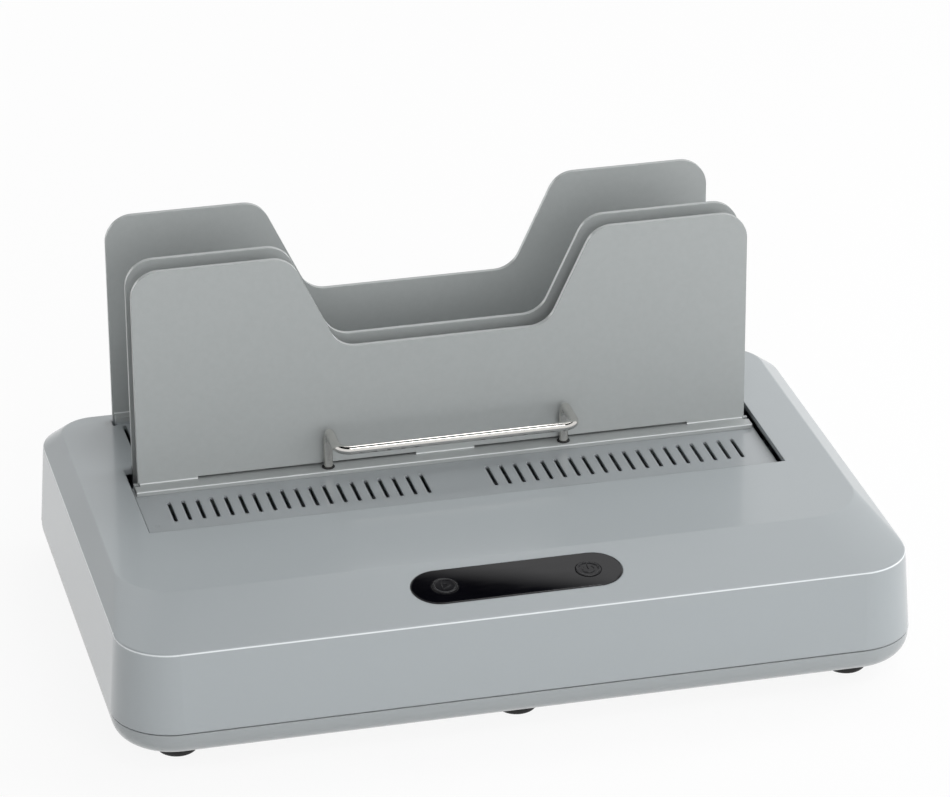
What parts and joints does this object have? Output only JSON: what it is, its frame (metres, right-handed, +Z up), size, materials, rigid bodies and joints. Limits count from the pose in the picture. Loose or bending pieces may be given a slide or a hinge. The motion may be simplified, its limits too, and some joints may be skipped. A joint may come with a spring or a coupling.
{
  "type": "thermal binding machine",
  "caption": "Desktop thermal binder: low silver housing, upright sheet-metal plates with thumb notches, sliding clamp carriage with a wire handle, and a front push-button panel.",
  "frame": {"origin": "middle of the footprint on the table, under the feet", "axes": "+X to the user's right along the plates, +Y to the rear, +Z up"},
  "size_m": [0.391, 0.264, 0.1814],
  "materials": {
    "housing": "satin silver moulding",
    "tray": "satin silver-grey moulding",
    "rubber": "matt black",
    "plate_paint": "satin silver-grey powder coat",
    "panel_paint": "satin silver coat",
    "chrome": "polished",
    "black_gloss": "glossy black",
    "button_gloss": "glossy black with a raised rim",
    "black_plastic": "matt black",
    "white_plastic": "natural acetal",
    "steel": "zinc plated",
    "sheet_steel": "galvanised sheet",
    "aluminium": "plain",
    "film": "amber heating film",
    "mineral": "mineral board",
    "board": "green laminate",
    "lamp": "clear lens",
    "brass": "nickel-free brass",
    "coil": "yellow tape wound core",
    "relay_case": "blue case",
    "can": "sleeved can"
  },
  "bodies": {
    "base": {"top_cover": "housing", "bottom_tray": "tray", "rubber_feet": "rubber", "housing_screws": "steel", "inner_plate": "plate_paint", "inner_plate_screws": "steel", "rear_plate": "plate_paint", "rear_plate_screws": "steel", "chassis": "sheet_steel", "chassis_screws": "steel", "guide_rail_left": "sheet_steel", "guide_rail_right": "sheet_steel", "rail_screws": "steel", "heater_plate": "aluminium", "heating_film": "film", "heater_insulator": "mineral", "heat_shield": "sheet_steel", "thermostat": "black_plastic", "thermal_fuse": "brass", "control_fascia": "black_gloss", "control_board": "board", "board_screws": "steel", "tact_switches": "black_plastic", "status_lamps": "lamp", "beeper": "black_plastic", "mains_inlet": "black_plastic", "inlet_pins": "brass", "inlet_screws": "steel", "power_board": "board", "power_board_screws": "steel", "transformer": "coil", "relay": "relay_case", "capacitor": "can"},
    "carriage": {"front_plate": "plate_paint", "vent_panel": "panel_paint", "carriage_screws": "steel", "wire_handle": "chrome", "handle_bushes": "black_plastic", "handle_nuts": "steel", "slide_shoes": "white_plastic", "shoe_screws": "steel"},
    "power_button": {"power_button": "button_gloss"},
    "start_button": {"start_button": "button_gloss"}
  },
  "joints": [
    {"name": "carriage_slide", "type": "slide", "parent": "base", "child": "carriage", "axis": [0, -1, 0], "range_m": [-0.0124, 0.044]},
    {"name": "power_press", "type": "slide", "parent": "base", "child": "power_button", "axis": [0, 0.1406, -0.9901], "range_m": [0, 0.0008], "stiffness_N_per_m": 1200, "springref_m": -0.0003},
    {"name": "start_press", "type": "slide", "parent": "base", "child": "start_button", "axis": [0, 0.1406, -0.9901], "range_m": [0, 0.0008], "stiffness_N_per_m": 1200, "springref_m": -0.0003}
  ]
}
